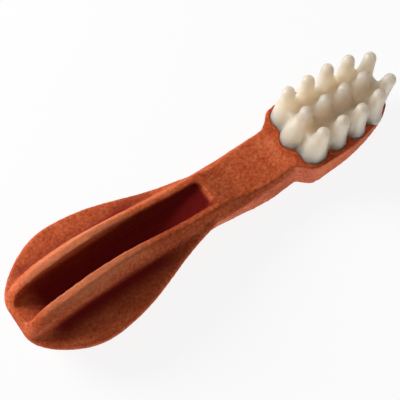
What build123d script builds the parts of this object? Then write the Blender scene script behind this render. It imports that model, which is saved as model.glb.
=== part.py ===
"""Dental chew in the shape of a toothbrush: a fluted chewing handle and a pad of soft nubs.

+X runs from the fluted bulb to the head's tip, +Y is the left side and +Z is up.
Z = 0 is the surface that the chew lies on, and X = 0 is half its length.
Lengths are in millimetres. A run is measured from the bulb's end, a rise from the bulb's centreline.
"""

from math import radians, tan
import os

from build123d import *

os.makedirs("parts", exist_ok=True)

# Lengths along the chew
bulb_length = 60.8
neck_length = 28.0
head_length = 31.2

# Bulb: a fin on each side at the parting plane, two ribs above it and two below
centreline_height = 10.3
bulb_width = 36.4
fin_thickness = 2.8
fin_runout = 2.4
fin_runout_half_width = 5.6
crest_rise = 10.6
keel_share = 0.95
rib_shoulder_rise = 7.6
rib_half_width = 8.3
crest_half_width = 6.2

# Bevel between ribs and fins
root_reach = 3.4
root_height = 4.4
root_inset = 0.3
root_step = 0.1
root_runout_half_width = 4.0

# Groove between the two ribs, above and below the central web
groove_width = 7.9
web_thickness = 4.0
groove_start = 1.6
groove_ramp = 10.0
groove_ramp_rise = 1.6
groove_end_wall = 0.2
groove_corner_radius = 2.9
groove_overshoot = 1.0

# Neck
neck_top_half_width = 7.0
neck_half_width = 8.0

# Head: a tray that slopes down to its tip, with an underside that rises to it
head_width = 23.2
shoulder_run = 4.3
shoulder_step = 0.3
tray_rise = 0.9
tray_slope = 5.8
heel_length = 5.0
underside_slope = 8.5
head_draft = 4.0

# Nubs: rows of three, and a leaning pair at the tip
full_stations = 4
first_station = 3.4
nub_pitch = 6.65
row_spacing = 7.2
last_row_spacing = 6.3
pair_step = 3.9
pair_spacing = 3.2
nub_height = 12.3
nub_root_radius = 2.9
nub_tip_radius = 1.85
nub_lean = 1.8
row_splay = 2.4
pair_lean = 12.0
pair_splay = 6.0

# Base of the nubs, let into a shallow seat in the tray
seat_depth = 1.0
seat_clearance = 0.15
nub_foot_depth = 0.4
nub_foot_chamfer = 0.5
foot_margin = 0.08
flank_inset = 0.12

# Core that fills between the nubs, with a small saddle up each of them
core_height = 5.0
core_near_run = 1.6
core_near_half_width = 7.9
core_half_width = 8.8
core_far_half_width = 7.3
core_far_reach = 1.5
saddle_height = 8.0
saddle_reach = 4.6
end_web_height = 6.4
end_web_run = 24.2
end_web_half_width = 4.6

# Lobes in front of the first three nubs, on an apron with a sloping front
apron_height = 6.0
apron_near_run = -0.8
apron_top_run = 2.0
apron_half_width = 6.9
lobe_shoulder = 3.2
lobe_shift = 0.4
lobe_inset = 0.15
lobe_top = 8.4
middle_lobe_run = 0.7
middle_lobe_radius = 3.5
side_lobe_run = 2.4
side_lobe_radius = 3.3
side_lobe_spacing = 6.9

chew_length = bulb_length + neck_length + head_length
head_start = bulb_length + neck_length


def along(run):
    """X of a place that lies run from the bulb's end."""
    return run - chew_length / 2


def above(rise):
    """Z of a place that lies rise above the bulb's centreline."""
    return rise + centreline_height


def cross_plane(run):
    """Cross-section plane at a run: +Y across and +Z up, from the bulb's centreline."""
    return Plane(origin=(along(run), 0, centreline_height), x_dir=(0, 1, 0), z_dir=(1, 0, 0))


def body_section(run, top_half, top, side_half, high_shoulder, low_half, low_shoulder, bottom):
    """Eight-sided section: flat top and bottom, sides and a bevel at each corner."""
    with BuildSketch(cross_plane(run)) as section:
        with BuildLine():
            Polyline(
                (0, top),
                (top_half, top),
                (side_half, high_shoulder),
                (low_half, low_shoulder),
                (top_half * keel_share, bottom),
                (0, bottom),
                close=True,
            )
        make_face()
        mirror(about=Plane.YZ)
    return section.sketch


def fin_section(run, half_width):
    """Flat bar with round edges, across the whole bulb."""
    with BuildSketch(cross_plane(run)) as section:
        SlotOverall(2 * half_width, fin_thickness)
    return section.sketch


def root_section(run, rib_half, fin_half):
    """Bevel in the corner between the ribs' sides and the faces of the fins."""
    growth = min(max(fin_half - rib_half, 0) / (2 * root_reach), 1)
    foot = rib_half + root_reach * growth - root_inset
    foot_rise = fin_thickness / 2 - root_inset
    top_rise = foot_rise + root_step + (root_height - foot_rise) * growth
    with BuildSketch(cross_plane(run)) as section:
        with BuildLine():
            Polyline(
                (0, top_rise),
                (rib_half - 2 * root_inset, top_rise),
                (foot, foot_rise),
                (foot, -foot_rise),
                (rib_half - 2 * root_inset, -top_rise),
                (0, -top_rise),
                close=True,
            )
        make_face()
        mirror(about=Plane.YZ)
    return section.sketch


# Bulb, as shares of its own sizes:
# run, fin's reach past the rib, crest, rib shoulder, rib half width, low shoulder, low half width, keel
bulb_shape = [
    (0.000, 0.032, 0.12, 0.14, 0.40, 0.14, 0.40, 0.12),
    (0.012, 0.09, 0.22, 0.25, 0.77, 0.25, 0.77, 0.22),
    (0.050, 0.337, 0.50, 0.56, 0.87, 0.56, 0.88, 0.52),
    (0.110, 0.607, 0.77, 0.86, 0.92, 0.86, 0.94, 0.79),
    (0.200, 0.87, 0.90, 0.97, 0.98, 0.97, 0.98, 0.92),
    (0.315, 1.00, 0.99, 1.00, 1.00, 1.00, 1.00, 0.985),
    (0.435, 0.944, 1.00, 0.94, 0.99, 0.96, 0.98, 1.00),
    (0.545, 0.805, 0.93, 0.80, 0.97, 0.90, 0.95, 0.985),
    (0.655, 0.60, 0.75, 0.65, 0.94, 0.84, 0.86, 0.96),
    (0.765, 0.368, 0.56, 0.47, 0.92, 0.76, 0.75, 0.93),
    (0.875, 0.167, 0.41, 0.24, 0.93, 0.68, 0.73, 0.90),
    (0.980, -0.041, 0.33, -0.04, 0.97, 0.65, 0.86, 0.87),
]
fin_sections = []
body_sections = []
root_sections = []
fin_reach = bulb_width / 2 - rib_half_width
for run, reach, crest, shoulder, half, low, low_half, keel in bulb_shape:
    rib_half = half * rib_half_width
    fin_half = rib_half + reach * fin_reach
    fin_sections.append(fin_section(run * bulb_length, fin_half))
    if run > 0:
        root_sections.append(root_section(run * bulb_length, rib_half, fin_half))
    body_sections.append(
        body_section(
            run * bulb_length,
            half * crest_half_width,
            crest * crest_rise,
            rib_half,
            shoulder * rib_shoulder_rise,
            low_half * rib_half_width,
            -low * rib_shoulder_rise,
            -keel * centreline_height,
        )
    )
fin_sections.append(fin_section(bulb_length + fin_runout, fin_runout_half_width))
root_sections[-1] = root_section(bulb_length, root_runout_half_width, root_runout_half_width)

# Neck: run and widths as shares, then the rises of its corners
neck_shape = [
    (0.19, 0.82, 1.5, 1.00, -0.9, 0.97, -6.2, -8.9),
    (0.45, 0.98, 0.4, 1.00, -1.3, 1.03, -7.8, -9.2),
    (0.69, 1.00, 0.2, 0.99, -1.2, 1.03, -7.9, -9.5),
    (0.78, 1.00, 0.6, 0.98, -1.0, 1.01, -7.9, -9.7),
    (0.86, 1.00, 1.2, 0.97, -0.6, 0.99, -7.9, -9.8),
    (0.94, 1.00, 1.1, 0.97, -0.6, 0.98, -7.9, -9.9),
]
for run, top_half, top, half, shoulder, low_half, low, bottom in neck_shape:
    body_sections.append(
        body_section(
            bulb_length + run * neck_length,
            top_half * neck_top_half_width,
            top,
            half * neck_half_width,
            shoulder,
            low_half * neck_half_width,
            low,
            bottom,
        )
    )

# Groove cutter: its floor ramps up to the bulb's end, and its far end is blunt
floor_height = above(web_thickness / 2)
ramp_top = (along(groove_start), floor_height + groove_ramp_rise)
ramp_foot = (along(groove_start + groove_ramp), floor_height)
far_floor = (along(bulb_length - groove_end_wall), floor_height)
groove_top = above(crest_rise + groove_overshoot)
with BuildPart() as groove:
    with BuildSketch(Plane.XZ):
        with BuildLine():
            Spline(ramp_top, ramp_foot, tangents=[(1, -0.25), (1, 0)])
            Polyline(ramp_foot, far_floor, (far_floor[0], groove_top), (ramp_top[0], groove_top), ramp_top)
        make_face()
    extrude(amount=groove_width / 2, both=True)
    fillet(groove.edges().filter_by(Axis.Z), radius=groove_corner_radius)

# Head: a drafted block under a sloping tray
tray_angle = radians(tray_slope)
tray = Plane(
    origin=(along(head_start), 0, above(tray_rise)),
    x_dir=(1, 0, -tan(tray_angle)),
    z_dir=(tan(tray_angle), 0, 1),
)
head_near = head_start - shoulder_run
tray_near = above(tray_rise + shoulder_run * tan(tray_angle))
tray_tip = above(tray_rise - head_length * tan(tray_angle))

# Half of its outline: runs from its start and half widths, as shares of its length and half width
head_shape = [
    (-0.085, 0.745),
    (-0.045, 0.865),
    (0.01, 0.97),
    (0.10, 1.00),
    (0.40, 0.995),
    (0.57, 0.93),
    (0.75, 0.80),
    (0.87, 0.665),
    (0.955, 0.45),
]


def head_section(height, inset):
    """Left half of the head's outline at a height, drawn in by the draft."""
    half_head = head_width / 2 - inset
    shoulder = (along(head_near), neck_half_width - shoulder_step - inset)
    tip = (along(chew_length - inset), 0)
    waypoints = [(along(head_start + run * head_length), half * half_head) for run, half in head_shape]
    with BuildSketch(Plane.XY.offset(height)) as section:
        with BuildLine():
            Line((along(head_near), 0), shoulder)
            Spline(shoulder, *waypoints, tip, tangents=[(1, 0.3), (0, -1)], tangent_scalars=(1, 1))
            Line(tip, (along(head_near), 0))
        make_face()
    return section.sketch


with BuildPart() as head:
    add(head_section(tray_near, 0))
    add(head_section(0, tray_near * tan(radians(head_draft))))
    loft(ruled=True)
    mirror(about=Plane.XZ)
    # side view: a flat heel, the rising underside and the sloping tray
    with BuildSketch(Plane.XZ):
        with BuildLine():
            heel_end = head_near + heel_length
            Polyline(
                (along(head_near), 0),
                (along(heel_end), 0),
                (along(chew_length), (chew_length - heel_end) * tan(radians(underside_slope))),
                (along(chew_length), tray_tip),
                (along(head_near), tray_near),
                close=True,
            )
        make_face()
    extrude(amount=head_width, both=True, mode=Mode.INTERSECT)

# Pad: feet of the nubs on the tray, as run, side, lean and splay
stations = []
for station in range(full_stations):
    spacing = last_row_spacing if station == full_stations - 1 else row_spacing
    for side in (-1, 0, 1):
        stations.append((first_station + station * nub_pitch, side * spacing, nub_lean, side * row_splay))
last_station = first_station + (full_stations - 1) * nub_pitch
pair_run = last_station + pair_step
for side in (-1, 1):
    stations.append((pair_run, side * pair_spacing, pair_lean, side * pair_splay))
places = [tray.location * Location((run, side, 0), (-splay, lean, 0)) for run, side, lean, splay in stations]



def flank_radius(height):
    """Radius just inside a nub's flank, at a height above its foot."""
    taper = (nub_root_radius - nub_tip_radius) / (nub_height - nub_tip_radius)
    return nub_root_radius - taper * height - flank_inset


with BuildPart() as nub:
    with BuildSketch(Plane.XZ):
        with BuildLine():
            foot = (0, -nub_foot_depth)
            tip_edge = (nub_tip_radius, nub_height - nub_tip_radius)
            Polyline(foot, (nub_root_radius - nub_foot_chamfer, -nub_foot_depth), (nub_root_radius, 0), tip_edge)
            RadiusArc(tip_edge, (0, nub_height), -nub_tip_radius)
            Line((0, nub_height), foot)
        make_face()
    revolve(axis=Axis.Z)

with BuildPart() as saddle:
    with BuildSketch(Plane.XZ):
        with BuildLine():
            saddle_top = (flank_radius(saddle_height), saddle_height)
            Polyline((0, saddle_height), (0, 0), (saddle_reach, 0), (saddle_reach, core_height))
            Spline((saddle_reach, core_height), saddle_top, tangents=[(-1, 0.3), (-0.25, 1)])
            Line(saddle_top, (0, saddle_height))
        make_face()
    revolve(axis=Axis.Z)

# Outlines on the tray, each from its left half
core_shape = [
    (core_near_run, core_near_half_width),
    (first_station, core_half_width),
    (last_station, core_far_half_width),
    (pair_run + core_far_reach, pair_spacing),
]
apron_shape = [(apron_near_run, apron_half_width), (first_station, apron_half_width)]
apron_top_shape = [(apron_top_run, apron_half_width), (first_station, apron_half_width)]
end_web_shape = [(end_web_run, end_web_half_width), (pair_run + core_far_reach, pair_spacing)]


def tray_outline(shape):
    """Closed outline on the tray that mirrors a row of corners about the chew's middle."""
    with BuildSketch(tray) as outline:
        with BuildLine():
            Polyline((shape[0][0], 0), *shape, (shape[-1][0], 0), close=True)
        make_face()
        mirror(about=Plane.XZ)
    return outline.sketch_local


lobes = [(side_lobe_run, side * side_lobe_spacing, side_lobe_radius) for side in (-1, 1)]
lobes.append((middle_lobe_run, 0, middle_lobe_radius))

with BuildSketch(tray) as core_outline:
    add(tray_outline(core_shape))
with BuildSketch(tray) as end_web_outline:
    add(tray_outline(end_web_shape))
with BuildSketch(tray) as pad_outline:
    add(core_outline.sketch_local)
    add(tray_outline(apron_shape))
    with Locations(*[(run, side) for run, side, lean, splay in stations]):
        Circle(nub_root_radius + foot_margin)
    for run, side, radius in lobes:
        with Locations((run, side)):
            Circle(radius)

with BuildPart() as webs:
    add([saddle.part.moved(place) for place in places])
    extrude(core_outline.sketch, amount=saddle_height, mode=Mode.INTERSECT)

lobe_solids = []
top_run = first_station + lobe_top * tan(radians(nub_lean))
top_spread = (row_spacing + lobe_top * tan(radians(row_splay))) / side_lobe_spacing
for run, side, radius in lobes:
    with BuildPart() as lobe:
        with BuildSketch(tray.offset(-nub_foot_depth)):
            with Locations((run, side)):
                Circle(radius - foot_margin)
        with BuildSketch(tray.offset(lobe_shoulder)):
            with Locations((run + lobe_shift, side)):
                Circle(radius - lobe_inset)
        with BuildSketch(tray.offset(lobe_top)):
            with Locations((top_run, side * top_spread)):
                Circle(flank_radius(lobe_top))
        loft()
    lobe_solids.append(lobe.part)

with BuildPart() as apron:
    with BuildSketch(tray):
        add(tray_outline(apron_shape))
    with BuildSketch(tray.offset(apron_height)):
        add(tray_outline(apron_top_shape))
    loft(ruled=True)

with BuildPart() as bristle_pad:
    extrude(pad_outline.sketch, amount=-seat_depth)
    extrude(core_outline.sketch, amount=core_height)
    extrude(end_web_outline.sketch, amount=end_web_height)
    add(apron.part)
    add(webs.part)
    add(lobe_solids)
    add([nub.part.moved(place) for place in places])

with BuildSketch(tray) as seat_outline:
    add(pad_outline.sketch_local)
    offset(amount=seat_clearance)

with BuildPart() as chew_handle:
    loft(body_sections)
    loft(fin_sections)
    loft(root_sections)
    add(head.part)
    add(groove.part, mode=Mode.SUBTRACT)
    add(groove.part.mirror(Plane.XY.offset(centreline_height)), mode=Mode.SUBTRACT)
    extrude(seat_outline.sketch, amount=-seat_depth, mode=Mode.SUBTRACT)
    extrude(seat_outline.sketch, amount=seat_depth, mode=Mode.SUBTRACT)

chew_handle.part.label = "chew_handle"
export_step(chew_handle.part, "parts/chew_handle.step")
bristle_pad.part.label = "bristle_pad"
export_step(bristle_pad.part, "parts/bristle_pad.step")
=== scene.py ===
import math

import bmesh
import bpy
import numpy as np
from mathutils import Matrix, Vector, noise


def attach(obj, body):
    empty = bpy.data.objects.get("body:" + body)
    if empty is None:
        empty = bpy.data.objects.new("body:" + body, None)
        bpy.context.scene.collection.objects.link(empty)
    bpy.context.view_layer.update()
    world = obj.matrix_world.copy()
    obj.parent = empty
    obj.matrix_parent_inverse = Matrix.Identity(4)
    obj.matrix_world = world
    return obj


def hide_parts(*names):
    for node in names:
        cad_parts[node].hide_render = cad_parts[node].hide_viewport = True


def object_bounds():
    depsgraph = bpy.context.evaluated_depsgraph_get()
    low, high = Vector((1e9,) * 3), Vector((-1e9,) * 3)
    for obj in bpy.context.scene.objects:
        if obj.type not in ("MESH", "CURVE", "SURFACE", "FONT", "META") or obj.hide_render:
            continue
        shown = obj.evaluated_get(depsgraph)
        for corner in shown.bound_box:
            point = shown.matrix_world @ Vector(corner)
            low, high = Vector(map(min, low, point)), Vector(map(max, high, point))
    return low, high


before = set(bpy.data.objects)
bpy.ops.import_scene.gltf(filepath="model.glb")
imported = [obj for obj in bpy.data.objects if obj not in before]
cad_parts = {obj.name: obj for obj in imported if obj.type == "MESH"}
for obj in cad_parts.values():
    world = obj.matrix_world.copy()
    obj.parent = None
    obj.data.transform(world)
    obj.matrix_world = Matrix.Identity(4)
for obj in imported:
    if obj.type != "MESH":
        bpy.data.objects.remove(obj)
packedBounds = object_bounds()
mm = 0.001
print("packed model:", len(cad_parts), "CAD pieces")


def srgb(hexColor):
    # a hex colour as the eye reads it, to the linear values that Blender mixes
    channels = [int(hexColor[i:i + 2], 16) / 255 for i in (1, 3, 5)]
    linear = [c / 12.92 if c <= 0.04045 else ((c + 0.055) / 1.055) ** 2.4 for c in channels]
    return (*linear, 1.0)


def addNode(tree, kind, inputs=None, stops=(), **settings):
    # one node with its settings, its values or links, and the stops of a colour ramp
    node = tree.nodes.new(kind)
    for key, value in settings.items():
        setattr(node, key, value)
    for key, value in (inputs or {}).items():
        if isinstance(value, bpy.types.NodeSocket):
            tree.links.new(value, node.inputs[key])
        else:
            node.inputs[key].default_value = value
    if stops:
        elements = node.color_ramp.elements
        while len(elements) < len(stops):
            elements.new(0.5)  # its position is set below
        for element, (position, hexColor) in zip(elements, stops):
            element.position = position
            element.color = srgb(hexColor)
    return node


def newMaterial(name):
    material = bpy.data.materials.new(name)
    material.use_nodes = True
    material.node_tree.nodes.clear()
    return material, material.node_tree


def startCompound(look):
    # what both compounds start from: places on the piece, and patterns by name,
    # with blobs about as wide as their size
    material, tree = newMaterial(look["name"])
    place = addNode(tree, "ShaderNodeTexCoord").outputs["Object"]
    patterns = {}
    for name, (size, detail, roughness) in look["patterns"].items():
        pattern = addNode(tree, "ShaderNodeTexNoise", {
            "Vector": place, "Scale": 1 / size, "Detail": detail, "Roughness": roughness})
        patterns[name] = pattern.outputs["Fac"]
    return material, tree, place, patterns


def regionMask(tree, coordinates, bands):
    # 1 inside a region of the piece and 0 outside; each band gives where it has ended and where it is full
    mask = 1.0
    for name, ended, full in bands:
        band = addNode(
            tree, "ShaderNodeMapRange", {0: coordinates[name], 1: ended, 2: full},
            interpolation_type="SMOOTHSTEP")
        mask = addNode(
            tree, "ShaderNodeMath", {0: mask, 1: band.outputs[0]}, operation="MULTIPLY").outputs[0]
    return mask


def tintRegions(tree, color, regions):
    # lays one colour after another over the first, by a mask and a share of it
    for mask, share, hexColor in regions:
        part = addNode(tree, "ShaderNodeMath", {0: mask, 1: share}, operation="MULTIPLY").outputs[0]
        mixed = addNode(
            tree, "ShaderNodeMix", {0: part, 6: color, 7: srgb(hexColor)}, data_type="RGBA")
        color = mixed.outputs[2]
    return color


def finishCompound(tree, look, color, relief):
    # what both compounds have: a fine relief, a weak shine and light that spreads below the surface
    bump = addNode(tree, "ShaderNodeBump", {
        "Height": relief, "Strength": look["relief"], "Distance": look["reliefDepth"]})
    shader = addNode(tree, "ShaderNodeBsdfPrincipled", {
        "Base Color": color, "Roughness": look["roughness"],
        "IOR": look["ior"], "Specular IOR Level": look["specular"],
        "Subsurface Weight": look["spreadWeight"], "Subsurface Radius": look["spreadColors"],
        "Subsurface Scale": look["spreadReach"], "Normal": bump.outputs["Normal"]})
    addNode(tree, "ShaderNodeOutputMaterial", {"Surface": shader.outputs["BSDF"]})


def bodyCompound(look):
    # moulded starch and meal compound: the eye gets a dry, mottled red-brown,
    # with painted shade in the recesses, darker and redder, and a painted highlight, paler, on the crests
    material, tree, place, patterns = startCompound(look)
    along, across, height = addNode(tree, "ShaderNodeSeparateXYZ", {0: place}).outputs
    offset = addNode(tree, "ShaderNodeMath", {0: height, 1: look["middleHeight"]}, operation="SUBTRACT")
    side = addNode(tree, "ShaderNodeMath", {0: across}, operation="ABSOLUTE")
    rise = addNode(tree, "ShaderNodeMath", {0: offset.outputs[0]}, operation="ABSOLUTE")
    coordinates = {"along": along, "side": side.outputs[0], "rise": rise.outputs[0]}

    # the mottle over the clouds gives the colour, and over the grain the relief
    layers = []
    for under in ("clouds", "grain"):
        rest = addNode(
            tree, "ShaderNodeMath", {0: patterns[under], 1: 1 - look["mottleShare"]}, operation="MULTIPLY")
        layer = addNode(
            tree, "ShaderNodeMath", {0: patterns["mottle"], 1: look["mottleShare"], 2: rest.outputs[0]},
            operation="MULTIPLY_ADD")
        layers.append(layer.outputs[0])
    blend, relief = layers

    # the painted shade in the recesses and the painted highlight on the crests are on the bulb alone
    bulb, groove, trough, crest = [
        regionMask(tree, coordinates, look[region]) for region in ("bulb", "groove", "trough", "crest")]
    hollow = addNode(tree, "ShaderNodeMath", {0: groove, 1: trough}, operation="MAXIMUM")
    # painted shade: the groove and the troughs beside the ribs are coloured darker and redder
    paintedRecessShade = addNode(tree, "ShaderNodeMath", {0: bulb, 1: hollow.outputs[0]}, operation="MULTIPLY")
    # painted highlight: the crests are coloured paler
    paintedCrestHighlight = addNode(tree, "ShaderNodeMath", {0: bulb, 1: crest}, operation="MULTIPLY")
    mottled = addNode(tree, "ShaderNodeValToRGB", {"Fac": blend}, look["colors"])
    color = tintRegions(tree, mottled.outputs["Color"], [
        (paintedCrestHighlight.outputs[0], look["paintedCrestHighlightShare"], look["paintedCrestHighlight"]),
        (paintedRecessShade.outputs[0], look["paintedRecessShadeShare"], look["paintedRecessShade"])])
    finishCompound(tree, look, color, relief)
    return material


def padCompound(look):
    # moulded paler compound: the eye gets a smooth cream that lets light through,
    # with painted shade: duller towards the tips, where the most light falls, and browner among the nubs
    material, tree, place, patterns = startCompound(look)
    tray = addNode(
        tree, "ShaderNodeMapping",
        {"Vector": place, "Location": look["trayOrigin"], "Rotation": (0, look["traySlope"], 0)},
        vector_type="TEXTURE")
    run, across, lift = addNode(tree, "ShaderNodeSeparateXYZ", {0: tray.outputs[0]}).outputs
    side = addNode(tree, "ShaderNodeMath", {0: across}, operation="ABSOLUTE")
    coordinates = {"run": run, "side": side.outputs[0], "lift": lift}
    clouded = addNode(tree, "ShaderNodeValToRGB", {"Fac": patterns["clouds"]}, look["colors"])
    upper = regionMask(tree, coordinates, look["upperNubs"])
    middle = regionMask(tree, coordinates, look["amongNubs"])
    # painted shade over the cream: on the upper nubs and among the nubs
    color = tintRegions(tree, clouded.outputs["Color"], [
        (upper, look["paintedTipShadeShare"], look["paintedTipShade"]), (middle, look["betweenShare"], look["between"])])
    finishCompound(tree, look, color, patterns["grain"])
    return material


def evenCopy(name, node, look):
    # merged copy of the CAD piece, remade with even small faces
    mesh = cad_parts[node].data.copy()
    mesh.materials.clear()
    work = bmesh.new()
    work.from_mesh(mesh)
    bmesh.ops.remove_doubles(work, verts=work.verts, dist=look["mergeReach"])
    work.to_mesh(mesh)
    work.free()
    piece = bpy.data.objects.new(name, mesh)
    bpy.context.scene.collection.objects.link(piece)
    remesh = piece.modifiers.new("even", "REMESH")
    remesh.mode = "VOXEL"
    remesh.voxel_size = look["voxel"]
    graph = bpy.context.evaluated_depsgraph_get()
    made = bpy.data.meshes.new_from_object(piece.evaluated_get(graph), depsgraph=graph)
    piece.modifiers.clear()
    piece.data = made
    made.name = name
    for polygon in made.polygons:
        polygon.use_smooth = True
    return piece


def readVertices(piece, value):
    # "co" gives the places of the vertices and "normal" their directions
    vertices = piece.data.vertices
    numbers = np.zeros(len(vertices) * 3)
    vertices.foreach_get(value, numbers)
    return numbers.reshape(-1, 3)


def writePlaces(piece, places):
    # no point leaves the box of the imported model
    kept = np.clip(places, np.array(packedBounds[0]), np.array(packedBounds[1]))
    piece.data.vertices.foreach_set("co", kept.ravel())
    piece.data.update()


def soften(piece, rounds, share):
    # rounds of averaging with the neighbours; a share of 1 moves a vertex half way in each
    halfWay = 0.5
    ends = np.zeros(len(piece.data.edges) * 2, dtype=np.int64)
    piece.data.edges.foreach_get("vertices", ends)
    first, second = ends.reshape(-1, 2).T
    places = readVertices(piece, "co")
    total = len(places)
    neighbours = np.bincount(first, minlength=total) + np.bincount(second, minlength=total)
    weight = halfWay * np.broadcast_to(share, total)
    for turn in range(rounds):
        for axis in range(3):
            line = places[:, axis]
            sums = np.bincount(first, line[second], total) + np.bincount(second, line[first], total)
            places[:, axis] = line + weight * (sums / neighbours - line)
    writePlaces(piece, places)


def roughen(piece, lumps):
    # low lumps of a moulded surface, along its normals
    places = readVertices(piece, "co")
    normals = readVertices(piece, "normal")
    levels = np.array([
        noise.fractal(Vector(place) / lumps["size"], lumps["falloff"], lumps["finer"], lumps["layers"])
        for place in places])
    writePlaces(piece, places + normals * (levels * lumps["height"])[:, None])


hollowEnd = ("along", -57 * mm, -50 * mm)
handleLook = {
    "name": "mouldedMealCompound",
    "mergeReach": 0.002 * mm, "voxel": 0.36 * mm, "softenRounds": 4, "softenShare": 1.0,
    "lumps": {"size": 1.2 * mm, "height": 0.06 * mm, "falloff": 0.9, "finer": 2.0, "layers": 3},
    # size, detail and roughness; meal is ground finer than this, and is drawn coarse enough to show
    "patterns": {
        "mottle": (0.9 * mm, 4.0, 0.65), "clouds": (5 * mm, 2.0, 0.5), "grain": (0.4 * mm, 2.0, 0.6)},
    "mottleShare": 0.7,
    "colors": [(0.34, "#983A1B"), (0.50, "#B8542D"), (0.66, "#CA7149")],
    # the crest colour is a painted highlight, and the recess colour is a painted shade
    "paintedCrestHighlight": "#CC7E56", "paintedCrestHighlightShare": 0.5, "paintedRecessShade": "#640502", "paintedRecessShadeShare": 1.0,
    # bands along the chew, to either side of its middle, or up and down from its middle height
    "middleHeight": 10.3 * mm,
    "bulb": [("along", 0.8 * mm, -0.8 * mm)],
    "groove": [("side", 4.8 * mm, 3.6 * mm), ("rise", 9.5 * mm, 6 * mm), hollowEnd],
    "trough": [
        ("side", 7.5 * mm, 8.6 * mm), ("rise", 7.5 * mm, 4 * mm), ("side", 13.5 * mm, 9 * mm),
        ("along", -8 * mm, -22 * mm), hollowEnd],
    "crest": [("rise", 6.8 * mm, 10.2 * mm)],
    "relief": 0.9, "reliefDepth": 0.25 * mm, "roughness": 0.62, "ior": 1.45, "specular": 0.1,
    "spreadWeight": 0.25, "spreadColors": (1.0, 0.25, 0.1), "spreadReach": 1.5 * mm,
}
handle = evenCopy("handle", "chew_handle", handleLook)
soften(handle, handleLook["softenRounds"], handleLook["softenShare"])
roughen(handle, handleLook["lumps"])
handle.data.materials.append(bodyCompound(handleLook))
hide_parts("chew_handle")
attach(handle, "root")
print("handle:", len(handle.data.polygons), "faces")

padLook = {
    "name": "mouldedCreamCompound",
    "mergeReach": 0.002 * mm, "voxel": 0.28 * mm,
    # the tray that the pad stands on; lift is the height above it, square to its slope
    "trayOrigin": (28.8 * mm, 0, 11.2 * mm), "traySlope": math.radians(5.8),
    # the webs flow into the nubs, while the foot and the tips mostly keep their shape
    "softenRounds": 24, "softenLift": (0.3 * mm, 2 * mm, 7.5 * mm, 9.5 * mm),
    "softenShare": (0.05, 1.0, 1.0, 0.25),
    "swellLift": (0.8 * mm, 2 * mm), "swell": (0.14 * mm, 0.0),
    "patterns": {"clouds": (7 * mm, 2.0, 0.5), "grain": (0.9 * mm, 2.0, 0.5)},
    "colors": [(0.35, "#CEB79E"), (0.65, "#D5C1AB")],
    # the tip colour is painted shade, darkening the nubs where the most light falls
    "paintedTipShade": "#BBA793", "paintedTipShadeShare": 1.0, "upperNubs": [("lift", 6 * mm, 12 * mm)],
    # the colour among the nubs is painted shade, where the nubs shade the web
    "between": "#CDB292", "betweenShare": 0.2,
    "amongNubs": [("lift", 8.5 * mm, 5 * mm), ("side", 8 * mm, 5.5 * mm), ("run", 3 * mm, 6 * mm)],
    "relief": 0.1, "reliefDepth": 0.1 * mm, "roughness": 0.4, "ior": 1.45, "specular": 0.35,
    "spreadWeight": 1.0, "spreadColors": (1.0, 0.85, 0.7), "spreadReach": 30 * mm,
}
nubPad = evenCopy("nubPad", "bristle_pad", padLook)
places = readVertices(nubPad, "co")
tray = padLook["trayOrigin"]
slope = padLook["traySlope"]
lift = (places[:, 0] - tray[0]) * math.sin(slope) + (places[:, 2] - tray[2]) * math.cos(slope)
soften(nubPad, padLook["softenRounds"], np.interp(lift, padLook["softenLift"], padLook["softenShare"]))
# the foot fills the clearance of its seat, because the photo shows no gap there
swell = np.interp(lift, padLook["swellLift"], padLook["swell"])
writePlaces(nubPad, readVertices(nubPad, "co") + readVertices(nubPad, "normal") * swell[:, None])
nubPad.data.materials.append(padCompound(padLook))
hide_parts("bristle_pad")
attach(nubPad, "root")
print("nub pad:", len(nubPad.data.polygons), "faces")


def whiteRays(tree):
    # 1 for what the camera or a reflection sees, 0 for the light that falls on the chew
    rays = addNode(tree, "ShaderNodeLightPath").outputs
    seen = addNode(
        tree, "ShaderNodeMath", {0: rays["Is Camera Ray"], 1: rays["Is Glossy Ray"]}, operation="MAXIMUM")
    return seen.outputs[0]


def whiteCard(look):
    # matt white card: white to the camera, and it keeps the soft shadow
    material, tree = newMaterial("whiteCard")
    share = addNode(
        tree, "ShaderNodeMath", {0: whiteRays(tree), 1: look["glowShare"]}, operation="MULTIPLY")
    card = addNode(tree, "ShaderNodeBsdfDiffuse", {"Color": srgb(look["color"])})
    glow = addNode(tree, "ShaderNodeEmission", {
        "Color": srgb(look["glowColor"]), "Strength": look["glowStrength"]})
    mixed = addNode(
        tree, "ShaderNodeMixShader", {0: share.outputs[0], 1: card.outputs[0], 2: glow.outputs[0]})
    addNode(tree, "ShaderNodeOutputMaterial", {"Surface": mixed.outputs[0]})
    return material


floorLook = {
    "halfWidth": 4, "height": packedBounds[0][2],
    "color": "#F2F2F2", "glowColor": "#FFFFFF", "glowStrength": 1.0, "glowShare": 0.88,
}
floorMesh = bpy.data.meshes.new("floor")
work = bmesh.new()
bmesh.ops.create_grid(work, x_segments=1, y_segments=1, size=floorLook["halfWidth"])
bmesh.ops.translate(work, verts=work.verts, vec=(0, 0, floorLook["height"]))
work.to_mesh(floorMesh)
work.free()
floorMesh.materials.append(whiteCard(floorLook))
floor = bpy.data.objects.new("floor", floorMesh)
bpy.context.scene.collection.objects.link(floor)
floor.visible_shadow = False  # the table lamp below has to reach the chew
print("floor at", floorLook["height"])

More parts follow.
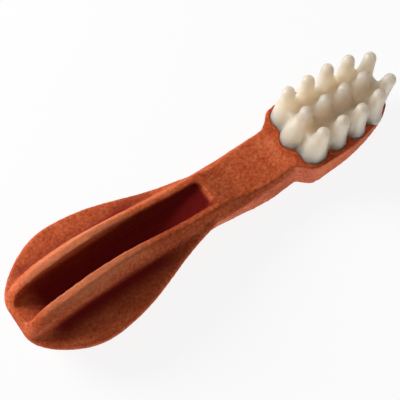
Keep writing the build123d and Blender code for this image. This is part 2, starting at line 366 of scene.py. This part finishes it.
skyLook = {"color": "#FFFFFF", "seenStrength": 1.0, "lightStrength": 0.09}
world = bpy.data.worlds.new("studio")
world.use_nodes = True
bpy.context.scene.world = world
sky = world.node_tree
sky.nodes.clear()
strength = addNode(sky, "ShaderNodeMapRange", {
    0: whiteRays(sky), 3: skyLook["lightStrength"], 4: skyLook["seenStrength"]})
dome = addNode(sky, "ShaderNodeBackground", {
    "Color": srgb(skyLook["color"]), "Strength": strength.outputs[0]})
addNode(sky, "ShaderNodeOutputWorld", {"Surface": dome.outputs[0]})
print("sky", skyLook["lightStrength"])

# direction from the chew, distance and width in metres, power in watts
lampLook = {
    "keyLamp": {"direction": (-0.45, 0.76, 0.48), "distance": 0.7, "width": 0.4, "power": 7.0},
    "topLamp": {"direction": (-0.1, -0.35, 1.0), "distance": 0.9, "width": 0.6, "power": 1.3},
    # light table: shines up through the floor, on the sides that face it
    "tableLamp": {"direction": (-0.25, -0.7, -0.65), "distance": 0.7, "width": 0.9, "power": 6.4},
}
for name, look in lampLook.items():
    lamp = bpy.data.lights.new(name, "AREA")
    lamp.shape = "DISK"
    lamp.size = look["width"]
    lamp.energy = look["power"]
    holder = bpy.data.objects.new(name, lamp)
    bpy.context.scene.collection.objects.link(holder)
    towards = Vector(look["direction"]).normalized()
    holder.location = towards * look["distance"]
    holder.rotation_euler = towards.to_track_quat("Z", "Y").to_euler()
print("lamps", len(lampLook))

# the photo's angle; lens and sensor in millimetres, place in metres, turns in degrees
cameraLook = {
    "lens": 90, "sensor": 36, "place": (-0.05263, -0.09500, 0.25825), "turns": (23.367, 2.971, -35.029)}
lens = bpy.data.cameras.new("camera")
lens.lens = cameraLook["lens"]
lens.sensor_width = cameraLook["sensor"]
camera = bpy.data.objects.new("camera", lens)
bpy.context.scene.collection.objects.link(camera)
camera.location = cameraLook["place"]
camera.rotation_euler = [math.radians(turn) for turn in cameraLook["turns"]]
bpy.context.scene.camera = camera
print("camera", cameraLook["lens"], "mm")

settings = bpy.context.scene.view_settings
settings.view_transform = "Standard"
